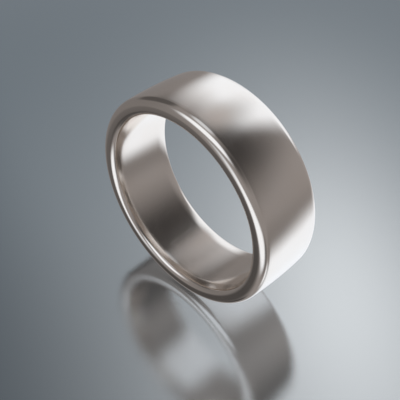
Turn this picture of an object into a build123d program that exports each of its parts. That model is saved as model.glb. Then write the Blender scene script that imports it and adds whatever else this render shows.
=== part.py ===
"""Plain wedding band: one piece of precious metal, turned from a single blank.

Frame: the origin is the middle of the finger hole. The finger axis runs along Y, and +Z is up,
so the band stands on its rim. All sizes are in millimetres.
"""

from build123d import *
import os

# Driving dimensions
BORE_DIAMETER = 19.8  # finger hole at its narrowest, a US size 10
WALL = 2.0  # thickness of the metal at the middle of the band
WIDTH = 8.0  # along the finger

# The outside: a very low crown, with softened edges
CROWN_RISE = 0.17  # how much the middle stands above the outer corners
OUTER_EDGE_RADIUS = 0.85  # rounding between the outside and a side face

# The inside: a comfort fit, which flares from a straight land to each side
LAND_WIDTH = 5.0  # straight, cylindrical middle of the finger hole
COMFORT_RELIEF = 0.18  # how far the flare opens the hole out at each side
INNER_EDGE_RADIUS = 0.6  # rounding between the flare and a side face

# The sides
ROUNDED_SHARE = 0.9  # most of the side wall that the two roundings may take, so a flat is left

bore_radius = BORE_DIAMETER / 2
outer_radius = bore_radius + WALL
side = WIDTH / 2
land_end = LAND_WIDTH / 2
outer_corner = outer_radius - CROWN_RISE
inner_corner = bore_radius + COMFORT_RELIEF

# A wall too thin for both roundings takes the same share of each.
side_wall = outer_corner - inner_corner
edge_share = min(1, ROUNDED_SHARE * side_wall / (OUTER_EDGE_RADIUS + INNER_EDGE_RADIUS))


def band_section():
    """The metal cut through above the finger: local X runs along the finger, local Y is the radius."""
    with BuildSketch(Plane.YZ) as section:
        with BuildLine():
            ThreePointArc((-side, outer_corner), (0, outer_radius), (side, outer_corner))
            Line((side, outer_corner), (side, inner_corner))
            TangentArc((land_end, bore_radius), (side, inner_corner), tangent=(1, 0))
            Line((land_end, bore_radius), (-land_end, bore_radius))
            TangentArc((-land_end, bore_radius), (-side, inner_corner), tangent=(-1, 0))
            Line((-side, inner_corner), (-side, outer_corner))
        make_face()
        # From the axis outwards: the two ends of the land, the two inner corners, the two outer corners.
        fillet(section.vertices().group_by(Axis.Y)[-1], radius=edge_share * OUTER_EDGE_RADIUS)
        fillet(section.vertices().group_by(Axis.Y)[1], radius=edge_share * INNER_EDGE_RADIUS)
    return section.sketch


def wedding_band():
    """The section swept once round the finger axis."""
    band = revolve(band_section(), axis=Axis.Y)
    band.label = "band"
    return band


os.makedirs("parts", exist_ok=True)
export_step(wedding_band(), "parts/band.step")
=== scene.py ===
"""A plain wedding band in polished white gold, standing on a polished table in a soft studio.

The band is one swept solid whose shape follows a rule: a section of arcs and straights, carried
once round the finger axis. Everything is in metres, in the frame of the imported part: the finger
axis is Y, up is +Z, and the origin is the middle of the finger hole.
"""

import logging
import math
from dataclasses import dataclass, field
from enum import Enum
from functools import cache
from typing import Union

import bpy
from mathutils import Matrix, Vector


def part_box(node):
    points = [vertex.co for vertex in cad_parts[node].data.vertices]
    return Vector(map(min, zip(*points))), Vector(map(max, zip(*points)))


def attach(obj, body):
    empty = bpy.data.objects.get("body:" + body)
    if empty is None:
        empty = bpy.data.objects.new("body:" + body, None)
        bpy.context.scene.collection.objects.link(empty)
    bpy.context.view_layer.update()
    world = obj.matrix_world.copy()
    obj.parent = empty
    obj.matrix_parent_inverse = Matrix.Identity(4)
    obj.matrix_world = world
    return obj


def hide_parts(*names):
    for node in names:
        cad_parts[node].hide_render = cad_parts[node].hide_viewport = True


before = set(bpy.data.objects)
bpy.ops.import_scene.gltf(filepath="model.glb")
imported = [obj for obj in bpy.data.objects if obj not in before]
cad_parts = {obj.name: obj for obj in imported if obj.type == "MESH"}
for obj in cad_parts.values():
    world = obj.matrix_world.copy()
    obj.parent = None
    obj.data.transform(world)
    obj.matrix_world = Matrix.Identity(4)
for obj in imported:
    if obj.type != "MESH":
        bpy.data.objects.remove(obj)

LOG = logging.getLogger("wedding_band")
MM = 0.001
CAD_NODE = "band"
BODY = "root"

Triple = tuple[float, float, float]
Colour = Triple
Span = tuple[float, float]
Value = Union[float, bpy.types.NodeSocket]
Direction = Union[Vector, Triple, bpy.types.NodeSocket]
Paint = Union[Colour, bpy.types.NodeSocket]
Point = tuple[Value, Value]
WHITE: Colour = (1.0, 1.0, 1.0)


class Sum(Enum):
    """The arithmetic that the node trees use."""

    ADD = "ADD"
    SUBTRACT = "SUBTRACT"
    MULTIPLY = "MULTIPLY"
    DIVIDE = "DIVIDE"
    POWER = "POWER"
    ROOT = "SQRT"
    MAGNITUDE = "ABSOLUTE"
    SINE = "SINE"
    COSINE = "COSINE"
    ARC_SINE = "ARCSINE"
    ARC_TANGENT = "ARCTAN2"


class Laying(Enum):
    """How a second colour is laid on a first."""

    OVER = "MIX"
    MULTIPLIED = "MULTIPLY"


class Tree(Enum):
    """What a node group works on."""

    SHADING = "ShaderNodeTree"
    SHAPE = "GeometryNodeTree"


class Socket(Enum):
    """The kinds of named socket that a group's interface is given."""

    NUMBER = "NodeSocketFloat"
    COUNT = "NodeSocketInt"
    VECTOR = "NodeSocketVector"
    METAL = "NodeSocketMaterial"
    GEOMETRY = "NodeSocketGeometry"


class Side(Enum):
    """Which side of the middle of the band an arc of its section lies on."""

    FRONT = -1
    BACK = 1


class Panel(Enum):
    """What a panel of the studio is, which sets the tint of what it sends to the metal."""

    LAMP = "lit diffuser"
    CARD = "unlit card"


class Wiring:
    """Adds nodes to a tree, and takes plain numbers and sockets alike as their inputs."""

    def __init__(self, tree: bpy.types.NodeTree) -> None:
        """Keeps the tree that the nodes go into.

        Args:
            tree: A geometry, shader or world node tree.
        """
        self.tree = tree

    def node(self, kind: str, **settings: object) -> bpy.types.Node:
        """Adds one node.

        Args:
            kind: The node's type name.
            **settings: Its properties, such as a mode or a data type.

        Returns:
            The new node.
        """
        made = self.tree.nodes.new(kind)
        for name, value in settings.items():
            setattr(made, name, value)
        return made

    def feed(self, socket: bpy.types.NodeSocket, value: object) -> None:
        """Links a socket to another, or sets its own value.

        Args:
            socket: The input to feed.
            value: An output socket, a number, a vector or a colour.
        """
        if isinstance(value, bpy.types.NodeSocket):
            self.tree.links.new(value, socket)
        else:
            socket.default_value = value

    def paint(self, socket: bpy.types.NodeSocket, colour: Paint) -> None:
        """Feeds a colour socket from another, or from red, green and blue."""
        self.feed(socket, colour if isinstance(colour, bpy.types.NodeSocket) else (*colour, 1.0))

    def sum(self, operation: Sum, *values: Value) -> bpy.types.NodeSocket:
        """One step of arithmetic.

        Args:
            operation: What is done with the values.
            *values: One or two numbers or sockets.

        Returns:
            The socket that holds the answer.
        """
        made = self.node("ShaderNodeMath", operation=operation.value)
        for socket, value in zip(made.inputs, values):
            self.feed(socket, value)
        return made.outputs[0]

    def square(self, value: Value) -> bpy.types.NodeSocket:
        """A number multiplied by itself."""
        return self.sum(Sum.POWER, value, 2.0)

    def length(self, first: Value, second: Value) -> bpy.types.NodeSocket:
        """The long side of a right triangle.

        Args:
            first: One short side.
            second: The other short side.

        Returns:
            The socket that holds the length.
        """
        return self.sum(Sum.ROOT, self.sum(Sum.ADD, self.square(first), self.square(second)))

    def dot(self, first: Direction, second: Direction) -> bpy.types.NodeSocket:
        """The dot product of two vectors.

        Args:
            first: A vector or a socket.
            second: A vector or a socket.

        Returns:
            The socket that holds the product.
        """
        made = self.node("ShaderNodeVectorMath", operation="DOT_PRODUCT")
        self.feed(made.inputs[0], first)
        self.feed(made.inputs[1], second)
        return made.outputs["Value"]

    def stretch(self, vector: Direction, by: Triple) -> bpy.types.NodeSocket:
        """A vector scaled differently along each axis.

        Args:
            vector: The vector or its socket.
            by: The three factors.

        Returns:
            The socket that holds the scaled vector.
        """
        made = self.node("ShaderNodeVectorMath", operation="MULTIPLY")
        self.feed(made.inputs[0], vector)
        made.inputs[1].default_value = by
        return made.outputs["Vector"]

    def scaled(self, vector: bpy.types.NodeSocket, by: Value) -> bpy.types.NodeSocket:
        """A vector or a colour made longer or shorter.

        Args:
            vector: The vector's socket.
            by: The factor.

        Returns:
            The socket that holds the scaled vector.
        """
        made = self.node("ShaderNodeVectorMath", operation="SCALE")
        self.feed(made.inputs[0], vector)
        self.feed(made.inputs["Scale"], by)
        return made.outputs["Vector"]

    def turned(self, vector: bpy.types.NodeSocket, by: Triple) -> bpy.types.NodeSocket:
        """A vector turned about the origin.

        Args:
            vector: The vector's socket.
            by: The turns about X, Y and Z, in radians.

        Returns:
            The socket that holds the turned vector.
        """
        made = self.node("ShaderNodeMapping", vector_type="POINT")
        self.feed(made.inputs["Vector"], vector)
        made.inputs["Rotation"].default_value = by
        return made.outputs["Vector"]

    def parts(self, vector: bpy.types.NodeSocket) -> bpy.types.NodeOutputs:
        """The X, Y and Z of a vector.

        Args:
            vector: The vector's socket.

        Returns:
            Their sockets, by name.
        """
        made = self.node("ShaderNodeSeparateXYZ")
        self.feed(made.inputs[0], vector)
        return made.outputs

    def vector(self, x: Value, y: Value, z: Value = 0.0) -> bpy.types.NodeSocket:
        """A vector put together from its parts.

        Args:
            x: Its X.
            y: Its Y.
            z: Its Z.

        Returns:
            The socket that holds the vector.
        """
        made = self.node("ShaderNodeCombineXYZ")
        for socket, value in zip(made.inputs, (x, y, z)):
            self.feed(socket, value)
        return made.outputs[0]

    def fade(
        self, value: Value, start: Value, end: Value, low: float = 0.0, high: float = 1.0
    ) -> bpy.types.NodeSocket:
        """A smooth step from one level to another as a value goes from start to end.

        Args:
            value: The number that drives the step.
            start: Where the step begins.
            end: Where it is complete.
            low: The level before the step.
            high: The level after it.

        Returns:
            The socket that holds the level.
        """
        made = self.node("ShaderNodeMapRange", interpolation_type="SMOOTHSTEP", clamp=True)
        for name, number in (
            ("Value", value),
            ("From Min", start),
            ("From Max", end),
            ("To Min", low),
            ("To Max", high),
        ):
            self.feed(made.inputs[name], number)
        return made.outputs["Result"]

    def blend(
        self, share: Value, first: Paint, second: Paint, laying: Laying = Laying.OVER
    ) -> bpy.types.NodeSocket:
        """A colour mixed from two.

        Args:
            share: How much of the second colour there is.
            first: A colour or its socket.
            second: A colour or its socket.
            laying: How the second is laid on the first.

        Returns:
            The socket that holds the mixed colour.
        """
        made = self.node("ShaderNodeMix", data_type="RGBA", blend_type=laying.value)
        self.feed(made.inputs["Factor"], share)
        colours = [s for s in made.inputs if s.type == "RGBA"]
        for socket, colour in zip(colours, (first, second)):
            self.paint(socket, colour)
        return next(s for s in made.outputs if s.type == "RGBA")

    def noise(self, vector: bpy.types.NodeSocket, scale: float, detail: float) -> bpy.types.NodeSocket:
        """Smooth noise from 0 to 1.

        Args:
            vector: Where the noise is read.
            scale: How fine it is.
            detail: How many finer layers it has.

        Returns:
            The socket that holds the noise.
        """
        made = self.node("ShaderNodeTexNoise", noise_dimensions="3D")
        self.feed(made.inputs["Vector"], vector)
        made.inputs["Scale"].default_value = scale
        made.inputs["Detail"].default_value = detail
        return made.outputs["Fac"]

    def bumped(self, height: bpy.types.NodeSocket, depth: float) -> bpy.types.NodeSocket:
        """The surface's direction where a relief lies on it.

        Args:
            height: The relief, in shares of the depth.
            depth: How deep a whole share is.

        Returns:
            The socket that holds the normal.
        """
        made = self.node("ShaderNodeBump")
        made.inputs["Distance"].default_value = depth
        self.feed(made.inputs["Height"], height)
        return made.outputs["Normal"]

    def glow(self, colour: Paint, strength: float = 1.0) -> bpy.types.NodeSocket:
        """A background of light, for a world.

        Args:
            colour: A colour or its socket.
            strength: How bright it is.

        Returns:
            The shader's socket.
        """
        made = self.node("ShaderNodeBackground")
        self.paint(made.inputs["Color"], colour)
        made.inputs["Strength"].default_value = strength
        return made.outputs[0]

    def laid_over(
        self, share: Value, under: bpy.types.NodeSocket, over: bpy.types.NodeSocket
    ) -> bpy.types.NodeSocket:
        """One shader over another.

        Args:
            share: How much of the upper one shows.
            under: The lower shader.
            over: The upper shader.

        Returns:
            The socket that holds the mixed shader.
        """
        made = self.node("ShaderNodeMixShader")
        for socket, value in zip(made.inputs, (share, under, over)):
            self.feed(socket, value)
        return made.outputs[0]

    def group(self, tree: bpy.types.NodeTree, **inputs: object) -> bpy.types.Node:
        """Places a shader node group.

        Args:
            tree: The group.
            **inputs: Its inputs, named with underscores in place of spaces.

        Returns:
            The group's node.
        """
        made = self.node("ShaderNodeGroup", node_tree=tree)
        for name, value in inputs.items():
            self.feed(made.inputs[name.replace("_", " ")], value)
        return made


def new_group(
    name: str, kind: Tree, inputs: dict[str, Socket], outputs: dict[str, Socket]
) -> tuple[Wiring, bpy.types.Node, bpy.types.Node]:
    """Makes an empty node group with named sockets.

    Args:
        name: The group's name.
        kind: What the group works on.
        inputs: The name and kind of each input.
        outputs: The name and kind of each output.

    Returns:
        The wiring of the group, its input node and its output node.
    """
    tree = bpy.data.node_groups.new(name, kind.value)
    for direction, sockets in (("INPUT", inputs), ("OUTPUT", outputs)):
        for label, socket in sockets.items():
            tree.interface.new_socket(label, in_out=direction, socket_type=socket.value)
    wiring = Wiring(tree)
    return wiring, wiring.node("NodeGroupInput"), wiring.node("NodeGroupOutput")


def bare_tree(owner: Union[bpy.types.Material, bpy.types.World]) -> Wiring:
    """Empties the node tree of a material or a world.

    Args:
        owner: The material or the world.

    Returns:
        The wiring of its tree.
    """
    owner.use_nodes = True
    owner.node_tree.nodes.clear()
    return Wiring(owner.node_tree)


def in_scene(name: str, data: bpy.types.ID) -> bpy.types.Object:
    """Makes an object of a mesh, a lamp or a camera.

    Args:
        name: The object's name.
        data: What it shows.

    Returns:
        The object, linked into the scene.
    """
    made = bpy.data.objects.new(name, data)
    bpy.context.scene.collection.objects.link(made)
    return made


@dataclass(frozen=True)
class BandSection:
    """The rule that shapes the band: its section's sizes in metres, and how finely it is cut.

    The crown is the low bow of the outside. The land is the straight middle of the finger hole, from
    which the flare opens it out by the comfort relief at each side.
    """

    outer_radius: float
    bore_radius: float
    width: float
    crown_rise: float = 0.17 * MM
    outer_edge: float = 0.85 * MM
    inner_edge: float = 0.60 * MM
    land_width: float = 5.0 * MM
    comfort_relief: float = 0.18 * MM
    crown_cuts: int = 18
    edge_cuts: int = 18
    flare_cuts: int = 8
    land_cuts: int = 6
    side_cuts: int = 2
    turns: int = 480
    weld: float = 0.001 * MM

    @classmethod
    def from_part(cls) -> "BandSection":
        """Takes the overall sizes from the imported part, which comes nearest to its axis on the land.

        Returns:
            The section.
        """
        low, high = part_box(CAD_NODE)
        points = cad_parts[CAD_NODE].data.vertices
        bore_radius = min(math.hypot(point.co.x, point.co.z) for point in points)
        return cls((high.z - low.z) / 2, bore_radius, high.y - low.y)

    def inputs(self) -> dict[str, float]:
        """The sizes as the Geometry Nodes tree takes them.

        Returns:
            The value of each named input.
        """
        return {
            "Outer Radius": self.outer_radius,
            "Bore Radius": self.bore_radius,
            "Width": self.width,
            "Crown Rise": self.crown_rise,
            "Outer Edge": self.outer_edge,
            "Inner Edge": self.inner_edge,
            "Land Width": self.land_width,
            "Comfort Relief": self.comfort_relief,
            "Turns": self.turns,
        }


class SectionTree:
    """The Geometry Nodes tree that draws the section and sweeps it round the finger."""

    def __init__(self, section: BandSection) -> None:
        """Starts the tree with one named input for each size.

        Args:
            section: The sizes, of which only the number of cuts is fixed in the tree.
        """
        self.section = section
        kinds = {name: Socket.NUMBER for name in section.inputs()}
        kinds["Turns"] = Socket.COUNT
        kinds["Metal"] = Socket.METAL
        self.wiring, self.sizes, self.end = new_group(
            "band_section_sweep", Tree.SHAPE, kinds, {"Band": Socket.GEOMETRY}
        )

    def size(self, name: str) -> bpy.types.NodeSocket:
        """One of the tree's named inputs."""
        return self.sizes.outputs[name]

    def arc(
        self, centre: Point, radius: Value, start: Value, end: Value, cuts: int
    ) -> bpy.types.NodeSocket:
        """An arc of the section.

        Args:
            centre: Its centre, along the finger and from the axis.
            radius: Its radius.
            start: The angle at which it starts, in radians.
            end: The angle at which it ends.
            cuts: How many straight pieces stand for it.

        Returns:
            The socket that holds the curve.
        """
        made = self.wiring.node("GeometryNodeCurveArc", mode="RADIUS")
        self.wiring.feed(made.inputs["Resolution"], cuts + 1)
        self.wiring.feed(made.inputs["Radius"], radius)
        self.wiring.feed(made.inputs["Start Angle"], start)
        self.wiring.feed(made.inputs["Sweep Angle"], self.wiring.sum(Sum.SUBTRACT, end, start))
        moved = self.wiring.node("GeometryNodeTransform")
        self.wiring.feed(moved.inputs["Geometry"], made.outputs["Curve"])
        self.wiring.feed(moved.inputs["Translation"], self.wiring.vector(*centre))
        return moved.outputs["Geometry"]

    def straight(self, start: Point, end: Point, cuts: int) -> bpy.types.NodeSocket:
        """A straight of the section.

        Args:
            start: Where it starts, along the finger and from the axis.
            end: Where it ends.
            cuts: How many equal pieces it has.

        Returns:
            The socket that holds the curve.
        """
        line = self.wiring.node("GeometryNodeCurvePrimitiveLine", mode="POINTS")
        self.wiring.feed(line.inputs["Start"], self.wiring.vector(*start))
        self.wiring.feed(line.inputs["End"], self.wiring.vector(*end))
        cut = self.wiring.node("GeometryNodeResampleCurve", mode="COUNT")
        self.wiring.feed(cut.inputs["Curve"], line.outputs["Curve"])
        self.wiring.feed(cut.inputs["Count"], cuts + 1)
        return cut.outputs["Curve"]

    def rounding(
        self, big: Value, small: Value, along: Value
    ) -> tuple[bpy.types.NodeSocket, bpy.types.NodeSocket]:
        """Where a small arc that touches a big arc from inside has its centre.

        Args:
            big: The big arc's radius.
            small: The small arc's radius.
            along: How far the two centres lie apart along the finger.

        Returns:
            How far they lie apart across it, and the angle at which the arcs touch.
        """
        w = self.wiring
        apart = w.sum(Sum.SUBTRACT, big, small)
        across = w.sum(Sum.ROOT, w.sum(Sum.SUBTRACT, w.square(apart), w.square(along)))
        return across, w.sum(Sum.ARC_TANGENT, across, along)

    def bow(self, chord: Value, rise: Value) -> bpy.types.NodeSocket:
        """The radius of an arc that rises by so much over half its chord.

        Args:
            chord: Half the chord.
            rise: The rise.

        Returns:
            The socket that holds the radius.
        """
        w = self.wiring
        squares = w.sum(Sum.ADD, w.square(chord), w.square(rise))
        return w.sum(Sum.DIVIDE, squares, w.sum(Sum.MULTIPLY, rise, 2.0))

    def half(self, side: Side, shape: dict[str, bpy.types.NodeSocket]) -> list[bpy.types.NodeSocket]:
        """The rounded edges, the side face and the flare on one side of the band.

        Args:
            side: Front or back.
            shape: The lengths and angles that both sides share.

        Returns:
            The curves, each in the same sense round the section.
        """
        w, sign, cuts = self.wiring, float(side.value), self.section

        def across(length: Value) -> bpy.types.NodeSocket:
            """A length measured from the middle of the band towards this side."""
            return w.sum(Sum.MULTIPLY, length, sign)

        def turned(angle: Value) -> bpy.types.NodeSocket:
            """An angle of the back half, mirrored if this is the front one."""
            return angle if side is Side.BACK else w.sum(Sum.SUBTRACT, math.pi, angle)

        flat = turned(0.0)
        edge = across(shape["half"])
        outer = (across(shape["outer_along"]), shape["outer_height"])
        inner = (across(shape["inner_along"]), shape["inner_height"])
        flare = (across(shape["land"]), shape["flare_height"])
        inner_touch, down = turned(shape["inner_touch"]), turned(-math.pi / 2)
        bends = [
            (outer, self.size("Outer Edge"), turned(shape["outer_touch"]), flat, cuts.edge_cuts),
            (inner, self.size("Inner Edge"), flat, inner_touch, cuts.edge_cuts),
            (flare, shape["flare_radius"], inner_touch, down, cuts.flare_cuts),
        ]
        face = [(edge, outer[1]), (edge, inner[1])]
        if side is Side.FRONT:
            bends = [(c, r, end, start, n) for c, r, start, end, n in bends]
            face.reverse()
        return [self.arc(*bend) for bend in bends] + [self.straight(*face, cuts.side_cuts)]

    def build(self) -> bpy.types.NodeTree:
        """Wires the section and its sweep.

        Returns:
            The finished tree.
        """
        w, cuts = self.wiring, self.section
        half = w.sum(Sum.MULTIPLY, self.size("Width"), 0.5)
        land = w.sum(Sum.MULTIPLY, self.size("Land Width"), 0.5)
        crown_radius = self.bow(half, self.size("Crown Rise"))
        crown_height = w.sum(Sum.SUBTRACT, self.size("Outer Radius"), crown_radius)
        outer_along = w.sum(Sum.SUBTRACT, half, self.size("Outer Edge"))
        outer_rise, outer_touch = self.rounding(crown_radius, self.size("Outer Edge"), outer_along)

        flare_radius = self.bow(w.sum(Sum.SUBTRACT, half, land), self.size("Comfort Relief"))
        flare_height = w.sum(Sum.ADD, self.size("Bore Radius"), flare_radius)
        inner_along = w.sum(Sum.SUBTRACT, half, self.size("Inner Edge"))
        inner_fall, inner_turn = self.rounding(
            flare_radius, self.size("Inner Edge"), w.sum(Sum.SUBTRACT, inner_along, land)
        )
        shape = {
            "half": half,
            "land": land,
            "outer_along": outer_along,
            "outer_height": w.sum(Sum.ADD, crown_height, outer_rise),
            "outer_touch": outer_touch,
            "inner_along": inner_along,
            "inner_height": w.sum(Sum.SUBTRACT, flare_height, inner_fall),
            "inner_touch": w.sum(Sum.MULTIPLY, inner_turn, -1.0),
            "flare_radius": flare_radius,
            "flare_height": flare_height,
        }
        pieces = [
            self.arc(
                (0.0, crown_height),
                crown_radius,
                w.sum(Sum.SUBTRACT, math.pi, outer_touch),
                outer_touch,
                cuts.crown_cuts,
            ),
            self.straight(
                (land, self.size("Bore Radius")),
                (w.sum(Sum.MULTIPLY, land, -1.0), self.size("Bore Radius")),
                cuts.land_cuts,
            ),
            *self.half(Side.BACK, shape),
            *self.half(Side.FRONT, shape),
        ]
        self.sweep(pieces)
        return w.tree

    def sweep(self, pieces: list[bpy.types.NodeSocket]) -> None:
        """Carries the section's curves round the finger axis, and welds what they leave.

        The curves are first drawn out along a straight rail one metre long, which is then rolled up
        into a ring.

        Args:
            pieces: The curves of the section, with X along the finger and Y from its axis.
        """
        w = self.wiring
        joined = w.node("GeometryNodeJoinGeometry")
        for piece in pieces:
            w.tree.links.new(piece, joined.inputs[0])
        rail = w.node("GeometryNodeCurvePrimitiveLine", mode="POINTS")
        rail.inputs["End"].default_value = (0.0, 0.0, 1.0)
        steps = w.node("GeometryNodeResampleCurve", mode="COUNT")
        w.feed(steps.inputs["Curve"], rail.outputs["Curve"])
        w.feed(steps.inputs["Count"], w.sum(Sum.ADD, self.size("Turns"), 1.0))
        strip = w.node("GeometryNodeCurveToMesh")
        w.feed(strip.inputs["Curve"], steps.outputs["Curve"])
        w.feed(strip.inputs["Profile Curve"], joined.outputs["Geometry"])

        where = w.parts(w.node("GeometryNodeInputPosition").outputs[0])
        turn = w.sum(Sum.MULTIPLY, where["Z"], 2 * math.pi)
        rolled = w.node("GeometryNodeSetPosition")
        w.feed(rolled.inputs["Geometry"], strip.outputs["Mesh"])
        w.feed(
            rolled.inputs["Position"],
            w.vector(
                w.sum(Sum.MULTIPLY, where["Y"], w.sum(Sum.COSINE, turn)),
                where["X"],
                w.sum(Sum.MULTIPLY, where["Y"], w.sum(Sum.SINE, turn)),
            ),
        )

        welded = w.node("GeometryNodeMergeByDistance")
        w.feed(welded.inputs["Geometry"], rolled.outputs["Geometry"])
        welded.inputs["Distance"].default_value = self.section.weld
        smooth = w.node("GeometryNodeSetShadeSmooth")
        w.feed(smooth.inputs["Geometry"], welded.outputs["Geometry"])
        real = w.node("GeometryNodeRealizeInstances")
        w.feed(real.inputs["Geometry"], smooth.outputs["Geometry"])
        dressed = w.node("GeometryNodeSetMaterial")
        w.feed(dressed.inputs["Geometry"], real.outputs["Geometry"])
        w.feed(dressed.inputs["Material"], self.size("Metal"))
        w.feed(self.end.inputs["Band"], dressed.outputs["Geometry"])


class Effects:
    """Shader node groups for the metal and the studio, each built when it is first asked for."""

    @staticmethod
    @cache
    def mottle() -> bpy.types.NodeTree:
        """Broad, soft cloudiness.

        Returns:
            A group that turns a Position and a patch Size into a Mask from 0 to 1.
        """
        thin, thick, layers = 0.32, 0.68, 3.0
        w, start, end = new_group(
            "soft_mottle",
            Tree.SHADING,
            {"Position": Socket.VECTOR, "Size": Socket.NUMBER},
            {"Mask": Socket.NUMBER},
        )
        place = w.scaled(start.outputs["Position"], w.sum(Sum.DIVIDE, 1.0, start.outputs["Size"]))
        w.feed(end.inputs["Mask"], w.fade(w.noise(place, 1.0, layers), thin, thick))
        return w.tree

    @staticmethod
    @cache
    def polish_lines() -> bpy.types.NodeTree:
        """Hair lines that a buffing wheel leaves along the way that it ran.

        Returns:
            A group that turns a Position, stretched across the lines, and their Depth into their
            Height, which is nothing where they were polished away.
        """
        fine_layers, broad_layers = 4.0, 2.0
        broad_scale, gone, kept = 0.18, 0.40, 0.64
        w, start, end = new_group(
            "polish_lines",
            Tree.SHADING,
            {"Position": Socket.VECTOR, "Depth": Socket.NUMBER},
            {"Height": Socket.NUMBER},
        )
        place = start.outputs["Position"]
        centred = w.sum(Sum.SUBTRACT, w.noise(place, 1.0, fine_layers), 0.5)
        height = w.sum(Sum.MULTIPLY, centred, start.outputs["Depth"])
        shown = w.fade(w.noise(place, broad_scale, broad_layers), gone, kept)
        w.feed(end.inputs["Height"], w.sum(Sum.MULTIPLY, height, shown))
        return w.tree

    @staticmethod
    @cache
    def hair_scratches() -> bpy.types.NodeTree:
        """Sparse, short and very shallow scratches that wear brings in no one direction.

        Returns:
            A group that turns a Position and a Spacing into a Mask that is 1 in a scratch.
        """
        line_width, patch_scale, gone, kept = 0.03, 0.7, 0.55, 0.70
        runs = ((35.0, (0.12, 1.0, 1.0)), (-50.0, (1.0, 0.1, 1.0)))
        spin = 0.3
        w, start, end = new_group(
            "hair_scratches",
            Tree.SHADING,
            {"Position": Socket.VECTOR, "Spacing": Socket.NUMBER},
            {"Mask": Socket.NUMBER},
        )
        place = w.scaled(start.outputs["Position"], w.sum(Sum.DIVIDE, 1.0, start.outputs["Spacing"]))
        total: Value = 0.0
        for degrees, stretch in runs:
            turned = w.turned(place, (math.radians(degrees), math.radians(2 * degrees), spin))
            cells = w.node("ShaderNodeTexVoronoi", feature="DISTANCE_TO_EDGE")
            w.feed(cells.inputs["Vector"], w.stretch(turned, stretch))
            cells.inputs["Scale"].default_value = 1.0
            line = w.fade(cells.outputs["Distance"], 0.0, line_width, 1.0, 0.0)
            shown = w.fade(w.noise(turned, patch_scale, 1.0), gone, kept)
            total = w.sum(Sum.ADD, total, w.sum(Sum.MULTIPLY, line, shown))
        w.feed(end.inputs["Mask"], total)
        return w.tree

    @staticmethod
    @cache
    def edge_wear() -> bpy.types.NodeTree:
        """Where a ring rubs: its two rims, strongest where the outside turns into the side.

        Returns:
            A group that turns a Position, the Rim Radius, the Rim Place along the finger and a
            Reach into a Mask that is 1 on the rim and 0 a reach away.
        """
        w, start, end = new_group(
            "edge_wear",
            Tree.SHADING,
            {
                "Position": Socket.VECTOR,
                "Rim Radius": Socket.NUMBER,
                "Rim Place": Socket.NUMBER,
                "Reach": Socket.NUMBER,
            },
            {"Mask": Socket.NUMBER},
        )
        where = w.parts(start.outputs["Position"])
        radius = w.length(where["X"], where["Z"])
        out = w.sum(Sum.SUBTRACT, radius, start.outputs["Rim Radius"])
        along = w.sum(Sum.SUBTRACT, w.sum(Sum.MAGNITUDE, where["Y"]), start.outputs["Rim Place"])
        away = w.length(out, along)
        w.feed(end.inputs["Mask"], w.fade(away, 0.0, start.outputs["Reach"], 1.0, 0.0))
        return w.tree

    @staticmethod
    @cache
    def soft_box() -> bpy.types.NodeTree:
        """A lit panel with a feathered edge, seen from the middle of the studio.

        Returns:
            A group that turns a Direction and a panel's Facing, Across and Upright axes, its half
            sizes in radians, its Squareness and its Feather into a Mask that is 1 on the panel.
        """
        axes = ("Direction", "Facing", "Across", "Upright")
        sizes = ("Half Width", "Half Height", "Squareness", "Feather")
        w, start, end = new_group(
            "soft_box",
            Tree.SHADING,
            {**{name: Socket.VECTOR for name in axes}, **{name: Socket.NUMBER for name in sizes}},
            {"Mask": Socket.NUMBER},
        )
        value = start.outputs
        ahead = w.dot(value["Direction"], value["Facing"])
        sideways = w.dot(value["Direction"], value["Across"])
        upward = w.dot(value["Direction"], value["Upright"])
        shares = [
            w.sum(Sum.DIVIDE, w.sum(Sum.MAGNITUDE, angle), limit)
            for angle, limit in (
                (w.sum(Sum.ARC_TANGENT, sideways, ahead), value["Half Width"]),
                (w.sum(Sum.ARC_SINE, upward), value["Half Height"]),
            )
        ]
        total = w.sum(Sum.ADD, *(w.sum(Sum.POWER, share, value["Squareness"]) for share in shares))
        reach = w.sum(Sum.POWER, total, w.sum(Sum.DIVIDE, 1.0, value["Squareness"]))
        inside = w.sum(Sum.SUBTRACT, 1.0, value["Feather"])
        outside = w.sum(Sum.ADD, 1.0, value["Feather"])
        w.feed(end.inputs["Mask"], w.fade(reach, inside, outside, 1.0, 0.0))
        return w.tree


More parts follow.
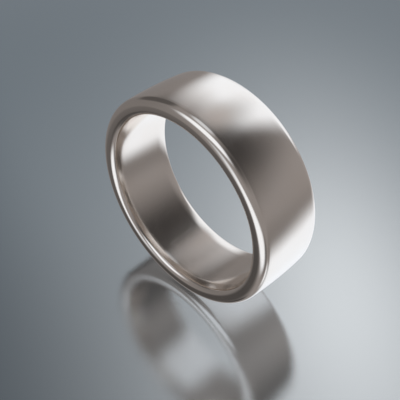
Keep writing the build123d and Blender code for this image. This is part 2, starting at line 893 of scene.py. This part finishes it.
@dataclass(frozen=True)
class WhiteGoldPolish:
    """Warm white gold, buffed round the finger to a soft shine.

    Its clouds are a little warmer and duller, and its rims are rubbed to a sharper gloss. Depths are
    shares of the relief.
    """

    name: str = "white_gold_polish"
    metal: Colour = (0.900, 0.842, 0.790)
    clouded_metal: Colour = (0.890, 0.822, 0.760)
    roughness: float = 0.115
    clouded_roughness: float = 0.16
    rubbed_roughness: float = 0.085
    scratch_roughness: float = 0.05
    cloud_size: float = 5.0 * MM
    line_spacing: float = 0.05 * MM
    line_length: float = 6.0 * MM
    line_depth: float = 0.10
    scratch_spacing: float = 2.4 * MM
    scratch_depth: float = 0.04
    relief: float = 0.002 * MM
    wear_reach: float = 0.9 * MM

    def build(self, section: BandSection) -> bpy.types.Material:
        """Makes the metal.

        Args:
            section: The band's sizes, which place the wear on its rims.

        Returns:
            The material.
        """
        metal = bpy.data.materials.new(self.name)
        w = bare_tree(metal)
        place = w.node("ShaderNodeTexCoord").outputs["Object"]
        across, along = 1 / self.line_spacing, 1 / self.line_length
        drawn_out = w.stretch(place, (along, across, along))
        lines = w.group(
            Effects.polish_lines(), Position=drawn_out, Depth=self.line_depth
        ).outputs["Height"]
        scratches = w.group(
            Effects.hair_scratches(), Position=place, Spacing=self.scratch_spacing
        ).outputs["Mask"]
        clouds = w.group(Effects.mottle(), Position=place, Size=self.cloud_size).outputs["Mask"]
        wear = w.group(
            Effects.edge_wear(),
            Position=place,
            Rim_Radius=section.outer_radius,
            Rim_Place=section.width / 2,
            Reach=self.wear_reach,
        ).outputs["Mask"]
        shine = w.node("ShaderNodeBsdfPrincipled")
        shine.inputs["Metallic"].default_value = 1.0
        w.feed(shine.inputs["Base Color"], w.blend(clouds, self.metal, self.clouded_metal))

        cloudy = w.fade(clouds, 0.0, 1.0, self.roughness, self.clouded_roughness)
        unworn = w.sum(Sum.MULTIPLY, cloudy, w.sum(Sum.SUBTRACT, 1.0, wear))
        worn = w.sum(Sum.ADD, unworn, w.sum(Sum.MULTIPLY, wear, self.rubbed_roughness))
        scratched = w.sum(Sum.ADD, worn, w.sum(Sum.MULTIPLY, scratches, self.scratch_roughness))
        w.feed(shine.inputs["Roughness"], scratched)

        cut = w.sum(Sum.MULTIPLY, scratches, -self.scratch_depth)
        w.feed(shine.inputs["Normal"], w.bumped(w.sum(Sum.ADD, lines, cut), self.relief))
        w.feed(w.node("ShaderNodeOutputMaterial").inputs["Surface"], shine.outputs[0])
        return metal


@dataclass
class Band:
    """The ring itself, swept from its section and polished."""

    name: str = "polished_band"
    section: BandSection = field(default_factory=BandSection.from_part)
    finish: WhiteGoldPolish = WhiteGoldPolish()
    shown: bpy.types.Object | None = None

    def build(self) -> bpy.types.Object:
        """Sweeps the section and keeps the result as a plain mesh.

        Returns:
            The band, with no modifier left on it.
        """
        tree = SectionTree(self.section).build()
        seed = in_scene("band_seed", bpy.data.meshes.new("band_seed"))
        sweep = seed.modifiers.new("sweep", "NODES")
        sweep.node_group = tree
        values = {**self.section.inputs(), "Metal": self.finish.build(self.section)}
        for item in tree.interface.items_tree:
            if item.item_type == "SOCKET" and item.in_out == "INPUT":
                sweep[item.identifier] = values[item.name]
        evaluated = seed.evaluated_get(bpy.context.evaluated_depsgraph_get())
        mesh = bpy.data.meshes.new_from_object(evaluated)
        seed.modifiers.remove(sweep)
        bpy.data.objects.remove(seed)
        mesh.name = self.name
        self.shown = in_scene(self.name, mesh)
        return self.shown

    def dress(self) -> None:
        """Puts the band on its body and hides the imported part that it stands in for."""
        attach(self.shown, BODY)
        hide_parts(CAD_NODE)
        LOG.info("%s: %d faces", self.shown.name, len(self.shown.data.polygons))


@dataclass(frozen=True)
class SoftBox:
    """A feathered panel of light, or a dark flag, on the dome of the studio.

    Its place is a turn about the finger axis, counted from +X towards +Z, and an angle from the
    back end of that axis. Sizes are half angles in degrees.
    """

    name: str
    panel: Panel
    level: float
    turn: float
    angle: float
    half_width: float
    half_height: float
    roll: float = 0.0
    squareness: float = 3.0
    feather: float = 7.0

    def axes(self) -> tuple[Vector, Vector, Vector]:
        """Works out how the panel faces.

        Returns:
            The directions to its middle, across it and up it.
        """
        turn, angle = math.radians(self.turn), math.radians(self.angle)
        sine, cosine = math.sin(angle), math.cos(angle)
        facing = Vector((sine * math.cos(turn), cosine, sine * math.sin(turn)))
        across = Vector((-math.sin(turn), 0.0, math.cos(turn)))
        rolled = Matrix.Rotation(math.radians(self.roll), 3, facing)
        return facing, rolled @ across, rolled @ facing.cross(across)

    def mask(self, w: Wiring, direction: bpy.types.NodeSocket) -> bpy.types.NodeSocket:
        """How much of the panel is seen in a direction.

        Args:
            w: The wiring of the world's tree.
            direction: The direction that is looked in.

        Returns:
            The socket that holds the mask.
        """
        facing, across, upright = self.axes()
        made = w.group(
            Effects.soft_box(),
            Direction=direction,
            Facing=facing,
            Across=across,
            Upright=upright,
            Half_Width=math.radians(self.half_width),
            Half_Height=math.radians(self.half_height),
            Squareness=self.squareness,
            Feather=self.feather / min(self.half_width, self.half_height),
        )
        return made.outputs["Mask"]


# Name, panel, level, turn, angle, half width and half height of each, the later over the earlier
DOME = (
    SoftBox("centre haze", Panel.CARD, 0.29, -60, 12, 36, 18, squareness=2, feather=12),
    SoftBox("left wall", Panel.CARD, 0.17, -175, 100, 50, 46, squareness=2, feather=22),
    SoftBox("belt shade", Panel.CARD, 0.19, -30, 62, 14, 22, squareness=2, feather=10),
    SoftBox("left shade", Panel.CARD, 0.06, -119, 117, 20, 21, squareness=2, feather=16),
    SoftBox("left gap", Panel.CARD, 0.035, -101, 101, 9, 7, squareness=2, feather=5),
    SoftBox("right shade", Panel.CARD, 0.055, 55, 98, 20, 34, squareness=2, feather=18),
    SoftBox("upper shade", Panel.CARD, 0.035, 68, 61, 36, 13, squareness=2, feather=14),
    SoftBox("low flag", Panel.CARD, 0.09, -42, 111, 18, 11, squareness=2, feather=8),
    SoftBox("dark left", Panel.CARD, 0.08, 152, 83, 20, 23, feather=5),
    SoftBox("upper back", Panel.LAMP, 0.92, 119, 26, 32, 29.5, roll=-5, feather=6.5),
    SoftBox("upper veil", Panel.LAMP, 0.54, 100, 52, 11, 5, squareness=2, feather=5),
    SoftBox("upper gap", Panel.CARD, 0.045, 82, 60.5, 17, 5.3, squareness=2, feather=4.5),
    SoftBox("upper blush", Panel.CARD, 0.40, 103, 56, 10, 4, squareness=2, feather=4),
    SoftBox("left back", Panel.LAMP, 0.72, -162, 31, 22, 10, feather=6),
    SoftBox("skirt", Panel.LAMP, 0.60, -86, 70, 26, 7, squareness=4, feather=4),
    SoftBox("lower back", Panel.LAMP, 0.90, -78, 48, 30, 20, squareness=3.2, feather=7),
    SoftBox("overhead", Panel.LAMP, 0.62, 99, 84, 12, 17, squareness=3, feather=5),
    SoftBox("upper front", Panel.LAMP, 0.92, 98, 132.5, 28, 17.5, roll=11, squareness=3.2, feather=6),
    SoftBox("front glow", Panel.LAMP, 0.62, 180, 177, 12, 12, squareness=2, feather=8),
    SoftBox("lower front", Panel.LAMP, 0.92, -59, 147, 21, 32, roll=34, squareness=3.4, feather=7),
    SoftBox("below", Panel.LAMP, 0.88, -60, 87, 12, 6, feather=4),
)


@dataclass(frozen=True)
class Table:
    """A level blue-grey table top: a dark matt ground under a thin polish that mirrors.

    Both share one pattern of light and shade, laid out in metres across and away from a viewer who
    stands at the front right: a pool of light on a shade that darkens near the viewer and towards the
    near left, and an even grey far off. The ground has a share of it painted into its own colour, as
    painted light and painted shade. The polish mirrors it as a graded light overhead, which brings
    most of the pool.
    """

    reach: float = 600 * MM
    across: Triple = (0.708, 0.706, 0.0)
    away: Triple = (-0.706, 0.708, 0.0)
    # The pattern: painted light and painted shade in the ground's colour, and the graded light
    # overhead.
    shade: Colour = (0.094, 0.108, 0.118)
    near_share: float = 0.35
    near_fade: Span = (-22 * MM, 16 * MM)
    pool: Colour = (0.84, 0.82, 0.80)
    pool_across: float = 15.2 * MM
    pool_away: float = -5 * MM
    pool_half_width: float = 14 * MM
    pool_half_length: float = 30 * MM
    # Painted shade towards the near left of the ground; overhead it dims the light.
    corner_shade: Colour = (0.24, 0.25, 0.26)
    corner_across: float = 0.9
    corner_away: float = 0.45
    corner_shade_fade: Span = (-34 * MM, -10 * MM)
    far: Colour = (0.184, 0.191, 0.198)
    far_fade: Span = (45 * MM, 115 * MM)
    painted_light_share: float = 0.20
    polish: float = 0.60
    tint: Colour = (0.80, 0.86, 0.91)
    overhead_share: float = 1.19
    overhead_height: float = 59.6 * MM
    overhead_middle: Triple = (40.2 * MM, -41.0 * MM, -71.5 * MM)
    grain: float = 0.06 * MM
    grain_layers: float = 2.0
    grain_depth: float = 0.0035 * MM
    grain_turn: Triple = (0.6, 0.9, 0.4)

    def tone(self, w: Wiring, place: bpy.types.NodeSocket) -> bpy.types.NodeSocket:
        """The pattern's tone at one place: painted light and shade on the ground, the graded light
        itself overhead.

        Args:
            w: The wiring of a material or the world.
            place: Where on the table the tone is read.

        Returns:
            The socket that holds the tone.
        """
        across, away = w.dot(place, self.across), w.dot(place, self.away)
        squares = [
            w.square(w.sum(Sum.DIVIDE, w.sum(Sum.SUBTRACT, way, middle), half))
            for way, middle, half in (
                (across, self.pool_across, self.pool_half_width),
                (away, self.pool_away, self.pool_half_length),
            )
        ]
        lit = w.sum(Sum.DIVIDE, 1.0, w.sum(Sum.ADD, 1.0, w.sum(Sum.ADD, *squares)))
        # Painted shade on the ground, darker near the viewer; overhead it dims the light.
        near_shade = tuple(self.near_share * part for part in self.shade)
        shade = w.blend(w.fade(away, *self.near_fade), near_shade, self.shade)
        pooled = w.blend(lit, shade, self.pool)
        # Painted shade on the ground: darker towards the near left.
        slant = w.sum(
            Sum.ADD,
            w.sum(Sum.MULTIPLY, across, self.corner_across),
            w.sum(Sum.MULTIPLY, away, self.corner_away),
        )
        corner_shaded = w.blend(w.fade(slant, *self.corner_shade_fade), self.corner_shade, WHITE)
        graded = w.blend(1.0, pooled, corner_shaded, Laying.MULTIPLIED)
        distance = w.node("ShaderNodeVectorMath", operation="LENGTH")
        w.feed(distance.inputs[0], place)
        return w.blend(w.fade(distance.outputs["Value"], *self.far_fade), graded, self.far)

    def overhead(self, w: Wiring, direction: bpy.types.NodeSocket) -> bpy.types.NodeSocket:
        """The graded light over the table, which its polish mirrors.

        Args:
            w: The wiring of the world's tree.
            direction: The direction that is looked in.

        Returns:
            The socket that holds the light's colour.
        """
        rise = w.parts(direction)["Z"]
        reached = w.scaled(direction, w.sum(Sum.DIVIDE, self.overhead_height, rise))
        moved = w.node("ShaderNodeVectorMath", operation="ADD")
        w.feed(moved.inputs[0], reached)
        moved.inputs[1].default_value = self.overhead_middle
        return self.tone(w, moved.outputs["Vector"])

    def finish(self) -> bpy.types.Material:
        """Makes the table's matt ground, whose colour is painted light and painted shade, and its
        polish.

        Returns:
            The material.
        """
        top = bpy.data.materials.new("table_painted_light")
        w = bare_tree(top)
        place = w.node("ShaderNodeTexCoord").outputs["Object"]
        matt = w.node("ShaderNodeBsdfDiffuse")
        # Painted light and painted shade: a share of the pattern laid into the ground's own colour.
        w.feed(matt.inputs["Color"], w.scaled(self.tone(w, place), self.painted_light_share))
        mirror = w.node("ShaderNodeBsdfGlossy")
        mirror.inputs["Roughness"].default_value = 0.0
        mirror.inputs["Color"].default_value = (*self.tint, 1.0)
        grain = w.noise(w.turned(place, self.grain_turn), 1 / self.grain, self.grain_layers)
        w.feed(mirror.inputs["Normal"], w.bumped(grain, self.grain_depth))
        mixed = w.laid_over(self.polish, matt.outputs[0], mirror.outputs[0])
        w.feed(w.node("ShaderNodeOutputMaterial").inputs["Surface"], mixed)
        return top

    def build(self, height: float) -> bpy.types.Object:
        """Lays the table under the band, where the metal shows the dome below in its place.

        Args:
            height: Where its top is.

        Returns:
            The table, linked into the scene.
        """
        mesh = bpy.data.meshes.new("table")
        r = self.reach
        rim = [(-r, -r, height), (r, -r, height), (r, r, height), (-r, r, height)]
        mesh.from_pydata(rim, [], [(0, 1, 2, 3)])
        mesh.materials.append(self.finish())
        table = in_scene("table", mesh)
        table.visible_glossy = False
        table.visible_shadow = False
        LOG.info("table: %.0f mm across", 2 * r / MM)
        return table


@dataclass(frozen=True)
class Dome:
    """The studio round the band, which shows each kind of ray something of its own.

    The metal and the table's ground are lit by grey walls and soft boxes. The table's polish
    mirrors an even tone with the graded light over the table added. The camera sees a plain
    backdrop past the table's end.
    """

    boxes: tuple[SoftBox, ...] = DOME
    walls: float = 0.245
    lit: Colour = (1.08, 1.145, 1.225)
    unlit: Colour = (1.143, 1.078, 1.062)
    backdrop: Colour = (0.180, 0.204, 0.226)
    mirrored: Colour = (0.106, 0.120, 0.132)

    def tinted(self, level: float, panel: Panel) -> Colour:
        """The colour that a panel of this level sends out."""
        red, green, blue = self.lit if panel is Panel.LAMP else self.unlit
        return (level * red, level * green, level * blue)

    def build(self, table: Table) -> None:
        """Makes the world that lights the scene.

        Args:
            table: The table, which knows the graded light over it.
        """
        world = bpy.data.worlds.new("studio")
        bpy.context.scene.world = world
        w = bare_tree(world)
        direction = w.node("ShaderNodeTexCoord").outputs["Generated"]
        level: Paint = self.tinted(self.walls, Panel.CARD)
        for box in self.boxes:
            level = w.blend(box.mask(w, direction), level, self.tinted(box.level, box.panel))
        polished = w.node("ShaderNodeAddShader")
        w.feed(polished.inputs[0], w.glow(self.mirrored))
        w.feed(polished.inputs[1], w.glow(table.overhead(w, direction), table.overhead_share))
        ray = w.node("ShaderNodeLightPath").outputs
        seen = w.laid_over(ray["Is Singular Ray"], w.glow(level), polished.outputs[0])
        seen = w.laid_over(ray["Is Camera Ray"], seen, w.glow(self.backdrop))
        w.feed(w.node("ShaderNodeOutputWorld").inputs["Surface"], seen)
        LOG.info("studio dome: %d soft boxes", len(self.boxes))


@dataclass(frozen=True)
class Lamp:
    """A broad overhead light that lifts the table's matt ground, and casts no shadow."""

    strength: float = 4.2
    spread: float = 80.0

    def build(self) -> None:
        """Hangs the lamp, which neither the metal nor the table's polish shows."""
        data = bpy.data.lights.new("overhead", "SUN")
        data.energy = self.strength
        data.angle = math.radians(self.spread)
        data.use_shadow = False
        in_scene("overhead", data).visible_glossy = False
        LOG.info("overhead lamp: %.0f degrees wide", self.spread)


@dataclass(frozen=True)
class Viewpoint:
    """The camera: where it stands round the band, and what it aims at."""

    azimuth: float = 44.93
    elevation: float = 40.56
    distance: float = 74.65 * MM
    aim_right: float = -0.445 * MM
    aim_up: float = -1.10 * MM
    lens: float = 64.35
    clip: Span = (1 * MM, 10.0)

    def build(self) -> bpy.types.Object:
        """Sets up the camera.

        Returns:
            The camera, which is the scene's own.
        """
        a, e = math.radians(self.azimuth), math.radians(self.elevation)
        back = Vector((math.sin(a) * math.cos(e), -math.cos(a) * math.cos(e), math.sin(e)))
        right = Vector((math.cos(a), math.sin(a), 0.0))
        up = back.cross(right)
        data = bpy.data.cameras.new("camera")
        data.lens = self.lens
        data.clip_start, data.clip_end = self.clip
        camera = in_scene("camera", data)
        camera.rotation_mode = "QUATERNION"
        camera.location = back * self.distance + right * self.aim_right + up * self.aim_up
        camera.rotation_quaternion = Matrix((right, up, back)).transposed().to_quaternion()
        bpy.context.scene.camera = camera
        LOG.info("camera: azimuth %.1f, elevation %.1f", self.azimuth, self.elevation)
        return camera


def main() -> None:
    """Builds the band, the table, the studio, the lamp and the camera, in that order."""
    logging.basicConfig(level=logging.INFO, format="%(name)s: %(message)s")
    bpy.context.scene.view_settings.view_transform = "Standard"
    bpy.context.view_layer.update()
    band = Band()
    band.build()
    band.dress()
    table = Table()
    table.build(-band.section.outer_radius)
    Dome().build(table)
    Lamp().build()
    Viewpoint().build()


if __name__ == "__main__":
    main()
